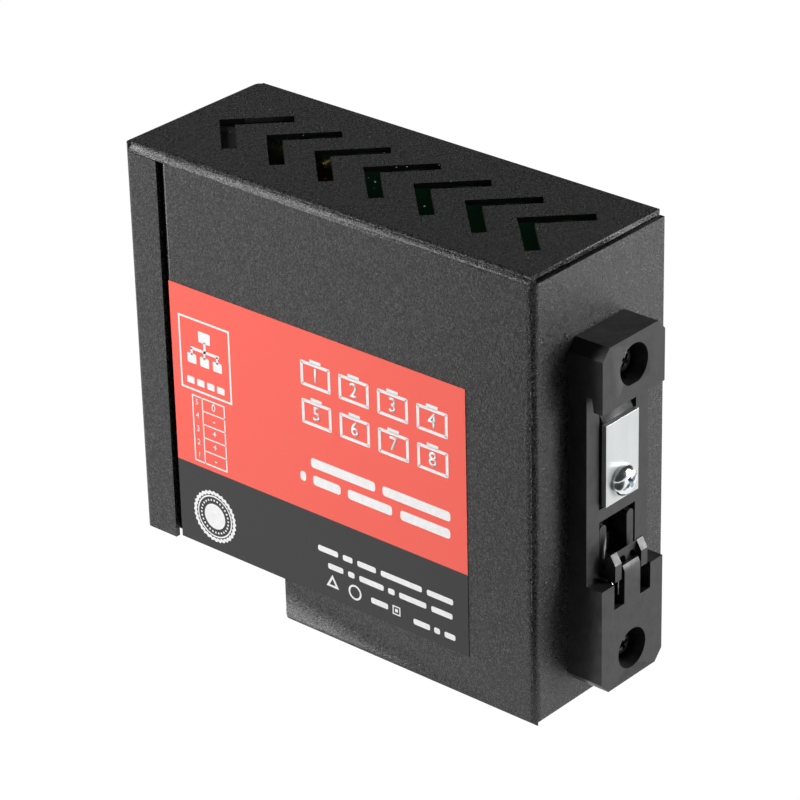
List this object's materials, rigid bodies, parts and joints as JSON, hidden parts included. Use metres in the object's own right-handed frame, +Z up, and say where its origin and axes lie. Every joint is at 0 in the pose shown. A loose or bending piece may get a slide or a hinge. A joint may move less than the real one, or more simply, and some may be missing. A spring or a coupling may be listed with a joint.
{
  "type": "din rail ethernet switch",
  "caption": "Narrow box-shaped network switch with ports on its front, a side label, slotted vents on top and a sprung rail clip on its back.",
  "frame": {"origin": "middle of the footprint of the whole part, on the underside of the case", "axes": "+X toward the labelled side, +Y from the ports to the rail clip, +Z up"},
  "size_m": [0.0371, 0.1116, 0.09],
  "materials": {
    "case": "fine-textured matte powder coat",
    "label": "printed film, red above and dark grey below",
    "black_screw": "black oxide",
    "zinc": "bright zinc",
    "board": "solder mask",
    "brass": "plain",
    "gold_screw": "yellow zinc",
    "tin": "tinplate",
    "black_plastic": "matte",
    "gold": "gold flash",
    "lamp": "milky",
    "green_plastic": "matte",
    "can": "satin",
    "clear": "clear",
    "clip_plastic": "satin",
    "nickel": "bright"
  },
  "bodies": {
    "case": {"case_shell": "case", "side_cover": "case", "front_cover": "case", "side_label": "label", "side_cover_screws": "black_screw", "case_press_nuts": "zinc", "front_cover_screws": "black_screw", "front_cover_nuts": "zinc", "main_board": "board", "board_pillars": "brass", "board_screws": "gold_screw", "jack_shield": "tin", "jack_body": "black_plastic", "jack_contacts": "gold", "jack_lamps": "lamp", "terminal_header": "green_plastic", "terminal_pins": "tin", "terminal_plug": "green_plastic", "terminal_screws": "zinc", "switch_chip": "black_plastic", "magnetics": "black_plastic", "capacitors": "can", "inductor": "black_plastic", "crystal": "can", "regulator": "black_plastic", "board_chip_parts": "black_plastic", "power_light": "lamp", "power_light_pipe": "clear", "clip_body": "clip_plastic", "clip_plate": "zinc", "plate_screw": "nickel", "clip_screws": "black_screw", "clip_press_nuts": "zinc", "latch_spring": "nickel"},
    "latch": {"clip_latch": "clip_plastic"}
  },
  "joints": [
    {"name": "latch_slide", "type": "slide", "parent": "case", "child": "latch", "axis": [0, 0, -1], "range_m": [0, 0.0032], "stiffness_N_per_m": 3000, "deforming": ["latch_spring"]}
  ]
}
